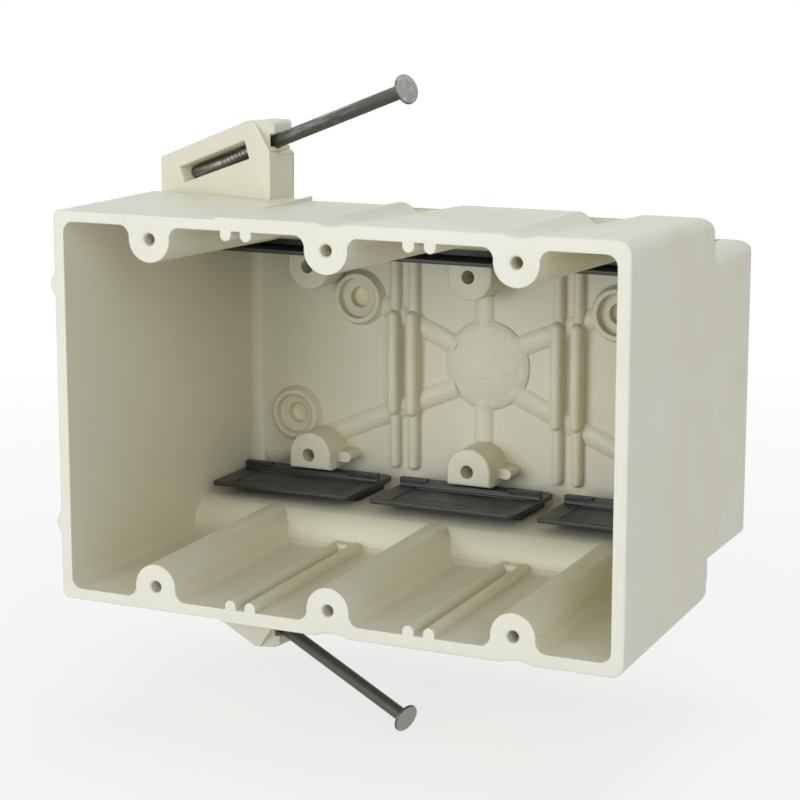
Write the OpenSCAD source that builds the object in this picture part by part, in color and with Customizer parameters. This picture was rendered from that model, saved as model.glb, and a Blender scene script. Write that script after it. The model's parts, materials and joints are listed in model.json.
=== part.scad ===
// New work outlet box, three gangs wide, with captive nails and cable clamps.
// X runs along the opening, Y runs into the box, Z is up.
// The origin is the centre of the opening, level with the device screws of the middle gang.

/* [Box] */
// Distance between the centre lines of two neighbouring gangs
gang_pitch = 46.04; // [44:0.02:50]
// From the edge of an outer gang's own width to the outside of the rim
end_margin = 3.19; // [2.4:0.05:4.5]
// Height of the opening end, outside
box_h = 95.8; // [94:0.2:104]
// How much lower the level outside is beside the stud, at the rim
stud_side_drop = 0.6; // [0.2:0.1:1.2]
// Place where the level outside ends, to the stud side of the middle screws
drop_x = 28.5; // [27.5:0.1:31]
// Depth of the box from rim to back, outside
box_d = 92; // [86:0.5:110]
// Draft of the side walls, degrees
draft = 1.25; // [0.5:0.05:1.5]
// Draft of floor and ceiling, degrees
floor_draft = 1.5; // [0.5:0.05:1.8]
// Thickness of floor and ceiling
floor_wall = 3.2; // [2.6:0.1:3.4]
// Thickness of the side wall that meets the stud
stud_wall = 2.65; // [2:0.05:4]
// Thickness of the free side wall
free_wall = 3.15; // [2:0.05:4]
// Thickness of the back wall
back_wall = 2.7; // [2:0.1:4]
// Outer corner radius at the free side
free_corner_r = 3.3; // [1:0.1:4]
// Outer corner radius at the stud side
stud_corner_r = 1.6; // [0.5:0.1:3]
// Inner corner radius
inner_corner_r = 2.6; // [1:0.1:4]

/* [Rear section] */
// Depth of the step in floor and ceiling, outside
step_y = 59; // [54:0.5:61]
// Height of the rear section, outside
rear_h = 75; // [72:0.5:76]
// Thickness of the step wall
step_wall = 2.7; // [2:0.1:3.5]
// Thickness of the ledge that carries the clamps
ledge_wall = 3; // [2:0.1:4]
// Rounding of the outer edge of the step
step_round = 4; // [1:0.1:5]
// Fillet at the outer foot of the step
step_fillet = 5; // [1:0.1:5.2]
// Rounding where the inner step wall turns into the ledge
ledge_round = 7.7; // [5:0.1:8]
// Rounding of the upper rear edge
rear_round_top = 4.6; // [1:0.1:5]
// Rounding of the lower rear edge
rear_round_bottom = 1.4; // [0.5:0.1:5]
// Rounding of the long rear edges at the free side
rear_edge_r = 4; // [1:0.1:4.5]
// Rounding of the upright rear edges
rear_side_round = 2.5; // [1:0.1:4]
// Inner fillet beside the back wall
back_fillet = 3; // [1:0.1:4]

/* [Screw bosses] */
// Distance between the upper and lower device screws
screw_span = 83.34; // [83:0.02:84]
// Diameter of the device screw holes
screw_hole_d = 2.8; // [2.4:0.1:3.6]
// Depth of the device screw holes
screw_hole_depth = 25; // [10:0.5:30]
// Radius of the screw bosses
screw_boss_r = 5.45; // [4.5:0.05:6]
// Fillet between a screw boss and its wall
screw_boss_flare = 2.75; // [1.5:0.05:3.2]
// Depth of the countersink at the mouth of a screw hole
screw_mouth = 0.35; // [0.1:0.05:0.6]

/* [Outside grooves] */
// Radius of the grooves over the middle and free-side screw bosses
groove_r = 10; // [8:0.1:14]
// Depth of the grooves at the rim
groove_front = 0.7; // [0.2:0.1:1.2]
// Depth of the grooves at the step
groove_rear = 4; // [2:0.1:4.4]
// Shift of the grooves to the free side of their screws
groove_shift = 0.9; // [0:0.1:2]

/* [Slot ribs] */
// Spacing of the two ribs of a slot
slot_pitch = 5.2; // [4.6:0.1:6]
// Width of a slot rib
slot_rib_w = 2.85; // [2:0.05:3.2]
// Height of a slot rib above floor or ceiling
slot_rib_h = 2.3; // [1.5:0.1:3]

/* [Back wall] */
// Gap between the flat of a post and the clamp beside it
post_gap = 1.77; // [1:0.01:4]
// Shift of a post to the free side of its hole
post_shift = 0.4; // [0:0.1:0.8]
// Height of the posts above the back wall
post_h = 10.9; // [8:0.1:14]
// Radius of the posts
post_r = 6.1; // [5:0.1:6.5]
// Distance from the post centre to its flat
post_flat = 3.7; // [3:0.1:4.4]
// Diameter of the post holes
post_hole_d = 3.5; // [3:0.1:4.5]
// Depth of the post holes
post_hole_depth = 9; // [6:0.5:10]
// Radius of the raised disc
disc_r = 11.7; // [9:0.1:13]
// Height of the flat edge of the disc
disc_edge = 0.3; // [0.2:0.1:1.2]
// Rise of the dome on the disc
disc_dome = 2; // [0.8:0.1:2.5]
// Shift of the disc to the free side
disc_shift = 1; // [0:0.1:2]
// Shift of the disc upwards
disc_rise = 1; // [0:0.1:2]
// Width of the crossing ribs
cross_rib_w = 5.6; // [4:0.1:7]
// Height of the crossing ribs
cross_rib_h = 1.2; // [0.6:0.1:2]
// Slope of the crossing ribs from level, degrees
cross_rib_angle = 23.5; // [20:0.5:30]
// Length of each crossing rib from the centre
cross_rib_len = 36; // [30:1:38]
// Reach of the lower crossing ribs from the middle
cross_rib_low = 68; // [60:1:70]
// How far the crossing ribs start above or below the middle
cross_rib_rise = 2.1; // [0:0.1:4]
// Spacing of the twin upright ribs
twin_pitch = 5.4; // [4:0.1:6]
// Shift of the twin ribs to the free side
twin_shift = 0.65; // [0:0.05:1]
// Width of a twin rib
twin_w = 2.8; // [1.8:0.1:3.2]
// Height of a twin rib
twin_h = 2.4; // [1.6:0.1:3]
// Height of the middle part of a twin rib
twin_mid_h = 4; // [3:0.1:5]
// Length of the middle part of a twin rib
twin_mid_len = 27.8; // [20:0.2:36]
// Outer diameter of the ring bosses
ring_d = 13.6; // [11:0.1:14]
// Diameter of the recess in a ring boss
ring_recess_d = 10.7; // [8:0.1:11]
// Height of the ring bosses
ring_h = 2.4; // [1:0.1:3]
// Diameter of the thinned spot in a ring boss
ring_hole_d = 5.5; // [3:0.1:6]
// Wall left behind the thinned spot
ring_skin = 0.7; // [0.4:0.1:1.2]

/* [Nails] */
// Diameter of the nail shank
nail_d = 3.36; // [2.8:0.02:3.6]
// Length of a nail under its head
nail_len = 82.8; // [76:0.1:90]
// Diameter of the nail head
nail_head_d = 7.1; // [6:0.1:8]
// Thickness of the nail head
nail_head_t = 1.2; // [0.8:0.1:2]
// Slope of a nail from level, degrees
nail_pitch = 18.6; // [17:0.1:19.5]
// Angle of a nail to the opening, seen from above, degrees
nail_yaw = 17.3; // [16:0.1:18]
// Free length between the nail boss and the head
nail_out = 42.7; // [36:0.1:44]
// Radial clearance between nail and boss
nail_clear = 0.08; // [0.05:0.01:0.1]
// Height of the nail above the screws where it leaves the boss
nail_rise = 20.35; // [19.6:0.05:22]
// Depth of the nail behind the rim where it leaves the boss
nail_depth = 42.3; // [40:0.1:43]

/* [Nail bosses] */
// Place of the boss end, to the stud side of the middle screws
boss_end_x = 33.4; // [31:0.1:36]
// Turn of the end face of a boss, degrees
boss_end_turn = 6; // [0:0.5:12]
// How far the cap of a boss ends before its block
boss_cap_back = 0.8; // [0.5:0.1:2.5]
// Distance from the nail axis to the front face of a boss
boss_front = 5.3; // [4.8:0.1:7]
// Distance from the nail axis to the rear face of a boss
boss_rear = 5; // [3:0.1:5.2]
// Material above the nail axis
boss_over = 6.7; // [5.5:0.1:8]
// Level top of a boss above the nail axis
boss_cap = 4.3; // [4:0.1:6]
// Half height of the window in a boss
window_half = 2.15; // [2:0.05:2.6]
// Thickness of the front plate beside the nail
boss_plate = 2.6; // [2:0.1:4]
// Inset of the boss from the stud face
boss_inset = 0.45; // [0.2:0.05:1]

/* [Cable clamps] */
// Space between two neighbouring clamps
clamp_space = 5.84; // [5:0.02:9]
// Shift of the clamps to the free side of their gang
clamp_shift = 0.4; // [0:0.1:0.8]
// Depth of a clamp plate
clamp_d = 27.2; // [25:0.1:28]
// Thickness of a clamp plate
clamp_t = 1; // [0.8:0.1:2]
// Gap between a clamp plate and the ledge
clamp_lift = 2.7; // [1.6:0.1:3.2]
// How far a clamp plate laps over each side of its entry
clamp_lap = 3.1; // [2:0.1:5]
// Depth of the cable entry in the ledge
entry_d = 14.5; // [12:0.5:21]
// Wall of the clamp's collar
collar_t = 1.4; // [1:0.1:2]
// Clearance of a clamp in its entry
clamp_clear = 0.15; // [0.1:0.05:0.3]
// Clearance between a clamp and the back wall
clamp_back_gap = 0.8; // [0.4:0.1:1.5]
// Distance from the front of a clamp plate to its upright strip
strip_in = 18; // [12:0.5:22]

/* [Hidden] */
$fn = 72;
eps = 0.01;
gangs = [-1, 0, 1];
tan_d = tan(draft);
tan_f = tan(floor_draft);
half_w = 1.5 * gang_pitch + end_margin;
half_h = box_h / 2;
half_h_stud = half_h - stud_side_drop;
screw_z = screw_span / 2;
inner_h = half_h - floor_wall;
back_y = box_d - back_wall;
step_in_y = step_y - step_wall;
rear_z = rear_h / 2;
ledge_z = rear_z - ledge_wall;
clamp_w = gang_pitch - clamp_space;
entry_w = clamp_w - 2 * clamp_lap;
post_y = back_y - post_h;
slot_x = gang_pitch / 2;
slot_len = step_in_y - 0.8;
boss_low_z = screw_z - screw_boss_r - step_in_y * tan_f;
boss_len = boss_low_z > ledge_z ? step_y + step_fillet + 1 : step_in_y + 0.5;
entry_y1 = back_y - 2.8;
entry_y0 = entry_y1 - entry_d;
plate_z = ledge_z - clamp_lift;
post_z = plate_z - clamp_t - post_gap - post_flat;
plate_y1 = back_y - clamp_back_gap;
plate_y0 = plate_y1 - clamp_d;
nail_z = screw_z + nail_rise;
nail_r = nail_d / 2;
nail_run = cos(nail_pitch) * cos(nail_yaw);
boss_left_x = boss_inset - half_w;
ring_spots = [
    [-gang_pitch + 10.3, 16.4],
    [-gang_pitch - 8.6, -16.4],
    [gang_pitch - 9.1, 16.9],
    [gang_pitch + 8.6, -16.4]
];
body_color = [0.89, 0.88, 0.8];
clamp_color = [0.12, 0.12, 0.13];
nail_color = [0.46, 0.46, 0.45];

// Extrudes a shape drawn in X and Z from y0 to y1.
module along_y(y0, y1) {
    translate([0, y1, 0])
        rotate([90, 0, 0])
            linear_extrude(height = y1 - y0)
                children();
}

// Extrudes a shape drawn in Y and Z from x0 to x1.
module along_x(x0, x1) {
    translate([x0, 0, 0])
        rotate([90, 0, 90])
            linear_extrude(height = x1 - x0)
                children();
}

// Repeats children below, as a mirror image.
module both_sides() {
    children();
    mirror([0, 0, 1])
        children();
}

// Block between two depths, with one radius and one taper per side, and a slope in height.
module drafted_block(x0, x1, half, r0, r1, y0, y1, taper0, taper1, slope) {
    hull()
        for (y = [y0 + eps, y1])
            for (s = [-1, 1]) {
                translate([x0 + taper0 * y * tan_d + r0, y, s * (half - y * slope - r0)])
                    rotate([90, 0, 0])
                        cylinder(r = r0, h = eps, $fn = 32);
                translate([x1 - taper1 * y * tan_d - r1, y, s * (half - y * slope - r1)])
                    rotate([90, 0, 0])
                        cylinder(r = r1, h = eps, $fn = 32);
            }
}

// Square corner minus a quarter circle: what a rounding of radius r takes away, pointing to +X and +Y.
module corner_off(r, reach) {
    difference() {
        square([reach, reach]);
        circle(r = r);
    }
}

// Upper half of the outer side profile in Y and Z, for a top that meets the step at edge_z.
module outer_profile_half(rear_round, edge_z) {
    difference() {
        translate([-5, 0])
            square([step_y + 5, half_h + 8]);
        translate([step_y - step_round, edge_z - step_round])
            corner_off(step_round, 20);
    }
    difference() {
        translate([-5, 0])
            square([box_d + 5, rear_z]);
        translate([box_d - rear_round, rear_z - rear_round])
            corner_off(rear_round, 20);
    }
    difference() {
        translate([step_y - 1, rear_z - 1])
            square([step_fillet + 1, step_fillet + 1]);
        translate([step_y + step_fillet, rear_z + step_fillet])
            circle(r = step_fillet);
        translate([step_y + step_fillet, rear_z - 2])
            square(20);
    }
}

module outer_profile(edge_z) {
    outer_profile_half(rear_round_top, edge_z);
    mirror([0, 1])
        outer_profile_half(rear_round_bottom, edge_z);
}

// Upper half of the inner side profile in Y and Z.
module inner_profile_half() {
    inner_step_r = 2.6;
    edge_z = inner_h - (step_in_y - inner_step_r) * tan_f + 0.02;
    difference() {
        translate([-5, 0])
            square([step_in_y + 5, half_h + 8]);
        translate([step_in_y - inner_step_r, edge_z - inner_step_r])
            corner_off(inner_step_r, 20);
    }
    difference() {
        translate([-5, 0])
            square([back_y + 5, ledge_z]);
        translate([back_y - 1.2, ledge_z - 1.2])
            corner_off(1.2, 20);
    }
    difference() {
        translate([step_in_y - 1, ledge_z - 1])
            square([ledge_round + 1, ledge_round + 1]);
        translate([step_in_y + ledge_round, ledge_z + ledge_round])
            circle(r = ledge_round);
    }
}

module inner_profile() {
    inner_profile_half();
    mirror([0, 1])
        inner_profile_half();
}

// Plan of the rear corners in X and Y.
module plan(side0, side1, end_y, r) {
    difference() {
        translate([-half_w - 6, -5])
            square([2 * half_w + 12, end_y + 5]);
        translate([side1 - r, end_y - r])
            corner_off(r, 20);
        mirror([1, 0])
            translate([side0 - r, end_y - r])
                corner_off(r, 20);
    }
}

module outer_shape() {
    level_x = 0.4 - drop_x;
    level_rise = 0.01;
    intersection() {
        union() {
            intersection() {
                drafted_block(-half_w, level_x, half_h_stud, stud_corner_r, 0.2, 0, box_d, 1, 0, -level_rise);
                along_x(-half_w - 5, 0)
                    outer_profile(half_h_stud + (step_y - step_round) * level_rise + 0.02);
            }
            intersection() {
                drafted_block(-drop_x, half_w, half_h, 0.2, free_corner_r, 0, box_d, 0, 1, tan_f);
                along_x(-half_w, half_w + 5)
                    outer_profile(half_h - (step_y - step_round) * tan_f + 0.02);
            }
        }
        translate([0, 0, -half_h - 5])
            linear_extrude(height = box_h + 10)
                plan(half_w - box_d * tan_d, half_w - box_d * tan_d, box_d, rear_side_round);
    }
}

module cavity() {
    stud_in = half_w - stud_wall;
    free_in = half_w - free_wall;
    intersection() {
        drafted_block(-stud_in, free_in, inner_h, inner_corner_r, inner_corner_r, -1, back_y + 1, 1, 1, tan_f);
        along_x(-half_w - 5, half_w + 5)
            inner_profile();
        translate([0, 0, -half_h - 5])
            linear_extrude(height = box_h + 10)
                plan(stud_in - back_y * tan_d, free_in - back_y * tan_d, back_y, back_fillet);
    }
}

// Section of a screw boss in X and Z about its screw, with fillets to the wall at wall_v.
module screw_boss_section(wall_v) {
    bite = 0.03;
    fillet_v = wall_v - screw_boss_flare + bite;
    reach = screw_boss_r + screw_boss_flare - bite;
    fillet_u = sqrt(reach * reach - fillet_v * fillet_v);
    touch_v = fillet_v * screw_boss_r / reach;
    circle(r = screw_boss_r);
    for (s = [-1, 1])
        difference() {
            translate([s > 0 ? 0 : -fillet_u, touch_v])
                square([fillet_u, wall_v - touch_v + 1]);
            translate([s * fillet_u, fillet_v])
                circle(r = screw_boss_flare);
        }
}

module screw_bosses() {
    for (g = gangs)
        translate([g * gang_pitch, 0, screw_z])
            rotate([-floor_draft, 0, 0])
                along_y(-1, boss_len)
                    screw_boss_section(inner_h - screw_z);
}

// Pair of ribs that makes a slot in the ceiling.
module slot_ribs() {
    tip = slot_rib_w / 2;
    for (s = [-1, 1])
        translate([s * slot_x, 0, inner_h])
            rotate([-floor_draft, 0, 0]) {
                for (t = [-1, 1])
                    along_y(-1, slot_len)
                        translate([t * slot_pitch / 2, 0]) {
                            translate([0, tip - slot_rib_h])
                                circle(r = tip);
                            translate([-tip, tip - slot_rib_h])
                                square([slot_rib_w, slot_rib_h - tip + 1]);
                        }
                translate([0, slot_len - tip, 0])
                    along_x(-slot_pitch / 2, slot_pitch / 2) {
                        translate([0, tip - slot_rib_h])
                            circle(r = tip);
                        translate([-tip, tip - slot_rib_h])
                            square([2 * tip, slot_rib_h - tip + 1]);
                    }
            }
}

// Rounded rib of given width and height along its own X, lying on the back wall.
module back_rib(length, width, height) {
    r = (width * width / 4 + height * height) / (2 * height);
    translate([0, back_y + r - height, 0])
        rotate([0, 90, 0])
            cylinder(r = r, h = length);
}

module posts() {
    for (g = gangs)
        translate([g * gang_pitch + post_shift, 0, post_z])
            along_y(post_y, back_y + 1) {
                intersection() {
                    circle(r = post_r);
                    translate([-post_r - 1, -post_r - 1])
                        square([2 * post_r + 2, post_r + 1]);
                }
                translate([-post_r, -eps])
                    square([2 * post_r, post_flat + eps]);
            }
}

// Short round-ended web beside each lower post.
module post_webs() {
    web_r = 1.4;
    web_z = -post_z - 0.6;
    for (g = gangs)
        along_y(post_y + 4.5, back_y + 1) {
            translate([g * gang_pitch + post_r - 2, web_z - web_r])
                square([4.9, 2 * web_r]);
            translate([g * gang_pitch + post_r + 2.9, web_z])
                circle(r = web_r);
        }
}

// Upright rib with a round front, standing on the back wall.
module upright_rib(length, width, height) {
    translate([0, back_y - height + width / 2, -length / 2])
        cylinder(r = width / 2, h = length);
    for (s = [-1, 1])
        translate([0, back_y - height + width / 2, s * length / 2])
            sphere(r = width / 2);
    translate([-width / 2, back_y - height + width / 2, -length / 2])
        cube([width, height, length]);
}

// Twin upright ribs between the gangs, taller near the middle.
module twin_ribs() {
    twin_end = post_z + post_flat - 0.3;
    for (s = [-1, 1])
        for (t = [-1, 1])
            translate([s * slot_x + twin_shift + t * twin_pitch / 2, 0, 0]) {
                upright_rib(2 * twin_end - twin_w, twin_w, twin_h);
                upright_rib(twin_mid_len - twin_w, twin_w + 0.3, twin_mid_h);
            }
}

module back_disc() {
    dome_r = (disc_r * disc_r + disc_dome * disc_dome) / (2 * disc_dome);
    intersection() {
        translate([disc_shift, back_y - disc_edge - disc_dome + dome_r, disc_rise])
            sphere(r = dome_r, $fn = 120);
        translate([disc_shift, back_y + 1, disc_rise])
            rotate([90, 0, 0])
                cylinder(r = disc_r, h = disc_edge + disc_dome + 2);
    }
}

// Ribs from the disc to the upper rings, the lower corners and the posts.
module crossing_ribs() {
    start = disc_r - 3.5;
    end_r = (cross_rib_w * cross_rib_w / 4 + cross_rib_h * cross_rib_h) / (2 * cross_rib_h);
    for (m = [0, 1])
        mirror([m, 0, 0]) {
            translate([0, 0, cross_rib_rise])
                rotate([0, -cross_rib_angle, 0])
                    translate([start, 0, 0])
                        back_rib(cross_rib_len - start, cross_rib_w, cross_rib_h);
            translate([0, 0, -cross_rib_rise])
                rotate([0, cross_rib_angle, 0]) {
                    translate([start, 0, 0])
                        back_rib(cross_rib_low - start, cross_rib_w, cross_rib_h);
                    translate([cross_rib_low, back_y + end_r - cross_rib_h, 0])
                        sphere(r = end_r);
                }
        }
    for (a = [90, 270])
        rotate([0, -a, 0])
            translate([start, 0, 0])
                back_rib(post_z - post_r - start, cross_rib_w, cross_rib_h);
}

module rings() {
    for (p = ring_spots)
        translate([p[0], back_y + 1, p[1]])
            rotate([90, 0, 0])
                cylinder(d1 = ring_d + 2.2, d2 = ring_d - 0.5, h = ring_h + 1);
}

module ring_recesses() {
    for (p = ring_spots)
        translate([p[0], back_y - 0.2, p[1]])
            rotate([90, 0, 0])
                cylinder(d = ring_recess_d, h = ring_h + 1);
}

// Everything that stands inside the box, trimmed by the cavity.
module inner_features() {
    both_sides() {
        screw_bosses();
        slot_ribs();
        posts();
    }
    post_webs();
    twin_ribs();
    back_disc();
    difference() {
        union() {
            crossing_ribs();
            rings();
        }
        ring_recesses();
    }
}

// Grooves outside over two of the screw bosses.
module outer_grooves() {
    front_z = half_h - groove_front + groove_r;
    rear_edge_z = half_h - step_y * tan_f - groove_rear + groove_r;
    fall = atan((front_z - rear_edge_z) / step_y);
    for (g = [0, 1])
        translate([g * gang_pitch + groove_shift, 0, front_z])
            rotate([-90 - fall, 0, 0])
                translate([0, 0, -5])
                    cylinder(r = groove_r, h = step_y + 5);
}

// Rounding of the long edges of the rear section on the free side.
module rear_edge_rounding() {
    translate([half_w, 0, 0])
        rotate([0, 0, draft])
            along_y(step_y + 0.6, box_d + 5)
                translate([-rear_edge_r, rear_z - rear_edge_r])
                    corner_off(rear_edge_r, rear_edge_r + step_fillet + 3);
}

// Slope behind the nail boss, from there to the middle screw.
module rear_slopes() {
    slope_y = 47.5;
    slope_x = 8.5;
    top_z = half_h - slope_y * tan_f;
    along_x(-half_w - 5, -slope_x)
        polygon([
            [slope_y, top_z + 3],
            [slope_y, top_z],
            [step_y + 3, top_z - (step_y + 3 - slope_y) * tan(13)],
            [step_y + 3, top_z + 3]
        ]);
    along_x(-half_w - 5, -drop_x)
        polygon([
            [slope_y - 6, half_h + 3],
            [slope_y - 6, half_h_stud + 0.03],
            [slope_y + 1, top_z - tan(13)],
            [slope_y + 1, half_h + 3]
        ]);
}

module screw_holes() {
    for (g = gangs)
        translate([g * gang_pitch, 0, screw_z])
            rotate([-90, 0, 0]) {
                translate([0, 0, -1])
                    cylinder(d = screw_hole_d, h = screw_hole_depth + 1);
                translate([0, 0, -eps])
                    cylinder(d1 = screw_hole_d + 2 * screw_mouth, d2 = screw_hole_d, h = screw_mouth);
            }
}

module post_holes() {
    for (g = gangs)
        translate([g * gang_pitch, post_y - 1, post_z])
            rotate([-90, 0, 0])
                cylinder(d = post_hole_d, h = post_hole_depth + 1);
}

module ring_holes() {
    for (p = ring_spots)
        translate([p[0], back_y - 3, p[1]])
            rotate([-90, 0, 0])
                cylinder(d = ring_hole_d, h = 3 + back_wall - ring_skin);
}

module cable_entries() {
    for (g = gangs)
        translate([g * gang_pitch + clamp_shift - entry_w / 2, entry_y0, ledge_z - 1])
            cube([entry_w, entry_d, ledge_wall + 2]);
}

// Two rounded ribs outside on the stud side.
module stud_ribs() {
    rib_half = 2.75;
    rib_h = 1.2;
    rib_r = (rib_half * rib_half + rib_h * rib_h) / (2 * rib_h);
    for (z = [29.6, -28.5])
        translate([-half_w - rib_h + rib_r, 0, z])
            rotate([-90, 0, -draft])
                cylinder(r = rib_r, h = box_d - rear_side_round);
}

// Moves children to where the nail axis leaves the boss, with X along the nail seen from above.
module at_nail() {
    translate([-boss_end_x, nail_depth, nail_z])
        rotate([0, 0, -nail_yaw])
            children();
}

// Moves children onto the nail axis, with X along the nail towards its head.
module on_nail_axis() {
    translate([-boss_end_x, nail_depth, nail_z])
        rotate([0, -nail_pitch, -nail_yaw])
            children();
}

// Side view of a nail boss in X and Z, drawn about the point where the nail leaves it.
module nail_boss_outline() {
    slope = tan(nail_pitch);
    far = -60;
    flat_x = (boss_cap - boss_over) / slope;
    intersection() {
        polygon([
            [far, -30],
            [8, -30],
            [8, boss_cap],
            [flat_x, boss_cap],
            [far, far * slope + boss_over]
        ]);
        translate([-50, -30])
            square([60, 60]);
    }
}

// Window along the nail, a little taller at its upper end.
module nail_window() {
    slope = tan(nail_pitch);
    x0 = -31.9;
    x1 = -8.1;
    polygon([
        [x0, x0 * slope + window_half],
        [x0 + 1.7, (x0 + 1.7) * slope - window_half],
        [x1 + 1.5, (x1 + 1.5) * slope - window_half - 0.5],
        [x1, x1 * slope + window_half]
    ]);
}

// Slanted cut at the front upper corner beside the exit of the nail.
module boss_bevel() {
    intersection() {
        translate([-4.3, -boss_front, boss_cap])
            rotate([0, -29, 42])
                translate([0, -10, -9])
                    cube([20, 10, 20]);
        translate([-20, -boss_front - 1, -3])
            cube([40, boss_front + 1, 20]);
    }
}

// What is cut off beside and above the nail where it leaves the boss.
module boss_mouth(throat) {
    block_drop = 1.2;
    cap_round = 1.2;
    block_round = 0.9;
    along_y(boss_plate - boss_front, boss_rear + 1)
        translate([-7, -throat])
            square([20, throat + 1.35]);
    rotate([0, 0, nail_yaw - boss_end_turn])
        along_y(-boss_front - 1, boss_rear + 20) {
            translate([-boss_cap_back - 0.2, 1.3])
                square([20, 20]);
            translate([-boss_cap_back - 0.2 - cap_round, boss_cap - cap_round])
                corner_off(cap_round, 10);
        }
    rotate([0, 0, nail_yaw - boss_end_turn])
        along_y(boss_plate - boss_front, boss_rear + 20) {
            translate([-1.6, -throat - block_drop])
                square([20, 2 * throat]);
            translate([-0.3 - block_round, -throat - block_drop - block_round])
                corner_off(block_round, 3);
        }
}

module nail_boss() {
    difference() {
        intersection() {
            at_nail()
                along_y(-boss_front, boss_rear)
                    nail_boss_outline();
            translate([-boss_end_x - 0.3, nail_depth, 0])
                rotate([0, 0, -boss_end_turn])
                    translate([-60, -60, 0])
                        cube([60, 120, 200]);
            translate([boss_left_x, 0, 0])
                cube([100, step_y - 0.7, 200]);
        }
        at_nail() {
            along_y(-boss_front - 1, nail_r)
                nail_window();
            boss_bevel();
            boss_mouth(nail_r + nail_clear + 0.1);
        }
    }
}

// Hole for a nail, open at both ends of its boss.
module nail_bore() {
    on_nail_axis()
        translate([-60, 0, 0])
            rotate([0, 90, 0])
                cylinder(r = nail_r + nail_clear, h = 80);
}

module box_body() {
    color(body_color)
        difference() {
            union() {
                difference() {
                    outer_shape();
                    both_sides() {
                        rear_slopes();
                        rear_edge_rounding();
                    }
                }
                stud_ribs();
                both_sides()
                    nail_boss();
            }
            difference() {
                cavity();
                inner_features();
            }
            both_sides() {
                outer_grooves();
                screw_holes();
                post_holes();
                cable_entries();
                nail_bore();
            }
            ring_holes();
        }
}

// Plate of a cable clamp seen from above, centred on its gang in X.
module clamp_plate_shape() {
    cut = 1.8;
    r = 2;
    r_stud = 1;
    difference() {
        translate([-clamp_w / 2, plate_y0])
            square([clamp_w, clamp_d]);
        translate([-clamp_w / 2 + r_stud, plate_y0 + r_stud])
            rotate([0, 0, 180])
                corner_off(r_stud, 6);
        translate([clamp_w / 2 - r, plate_y0 + r])
            rotate([0, 0, -90])
                corner_off(r, 6);
        translate([clamp_w / 2, plate_y1])
            rotate([0, 0, 45])
                square([cut * 1.4142, 10], center = true);
    }
}

// Upright strip across a clamp plate, its front grooved where it is taller.
module clamp_strip(x0, x1, height, grooved) {
    strip_t = 2;
    groove = 0.5;
    z = plate_z - clamp_t - height;
    difference() {
        translate([x0, plate_y0 + strip_in, z])
            cube([x1 - x0, strip_t, height + eps]);
        if (grooved)
            translate([x0 + 0.5, plate_y0 + strip_in - 1, z + 0.4 * height])
                cube([x1 - x0 - 1, 1 + groove, groove]);
    }
}

// Clamp above the ledge of the ceiling, plate towards the middle of the box.
module cable_clamp() {
    collar_w = entry_w - 2 * clamp_clear;
    collar_d = entry_d - 2 * clamp_clear;
    shoulder = 0.9;
    panel = 0.3;
    strip_h = 2;
    color(clamp_color)
        difference() {
            union() {
                translate([0, 0, plate_z - clamp_t])
                    linear_extrude(height = clamp_t)
                        clamp_plate_shape();
                translate([-collar_w / 2 - shoulder, entry_y0 - shoulder, plate_z - eps])
                    cube([collar_w + 2 * shoulder, collar_d + 2 * shoulder, clamp_lift - 0.05 + eps]);
                translate([-collar_w / 2, entry_y0 + clamp_clear, plate_z - eps])
                    cube([collar_w, collar_d, clamp_lift + ledge_wall - 0.25]);
                clamp_strip(0.2 - clamp_w / 2, 7.8 - clamp_w / 2, strip_h, true);
                clamp_strip(7.8 - clamp_w / 2 - eps, clamp_w / 2 - 9.2 + eps, 0.6 * strip_h, false);
                clamp_strip(clamp_w / 2 - 9.2, clamp_w / 2 - 0.6, strip_h, true);
            }
            translate([collar_t - collar_w / 2, entry_y0 + clamp_clear + collar_t, plate_z])
                cube([collar_w - 2 * collar_t, collar_d - 2 * collar_t, 20]);
            translate([5 - clamp_w / 2, plate_y0 + 2.6, plate_z - clamp_t - 1])
                cube([clamp_w - 8.4, strip_in - 3.2, 1 + panel]);
        }
}

// Nail along its own axis, tip first.
module nail() {
    tip_len = 4.6;
    tip_s = nail_out - nail_len;
    dome = 0.35;
    dome_r = (nail_head_d * nail_head_d / 4 + dome * dome) / (2 * dome);
    color(nail_color)
        on_nail_axis()
            rotate([0, 90, 0]) {
                translate([0, 0, tip_s])
                    cylinder(r1 = 0.3, r2 = nail_r, h = tip_len);
                translate([0, 0, tip_s + tip_len])
                    cylinder(r = nail_r, h = nail_len - tip_len + eps);
                translate([0, 0, nail_out])
                    cylinder(d = nail_head_d, h = nail_head_t - dome);
                intersection() {
                    translate([0, 0, nail_out + nail_head_t - dome_r])
                        sphere(r = dome_r, $fn = 96);
                    translate([0, 0, nail_out + 0.2])
                        cylinder(d = nail_head_d, h = 4);
                }
            }
}

module clamp_at(gang, side) {
    translate([gang * gang_pitch + clamp_shift, 0, 0])
        mirror([0, 0, side < 0 ? 1 : 0])
            cable_clamp();
}

box_body();
clamp_at(-1, -1);  // cable_clamp_bottom_1
clamp_at(0, -1);  // cable_clamp_bottom_2
clamp_at(1, -1);  // cable_clamp_bottom_3
clamp_at(-1, 1);  // cable_clamp_top_1
clamp_at(0, 1);  // cable_clamp_top_2
clamp_at(1, 1);  // cable_clamp_top_3
nail();  // nail_top
mirror([0, 0, 1]) nail();  // nail_bottom
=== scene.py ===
"""Dresses the new work outlet box: moulded body, nails, cable clamps and a plain studio stage."""

import json
import math

import bmesh
import bpy
from bpy.props import FloatProperty, FloatVectorProperty, IntProperty, PointerProperty
from mathutils import Matrix, Vector


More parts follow.
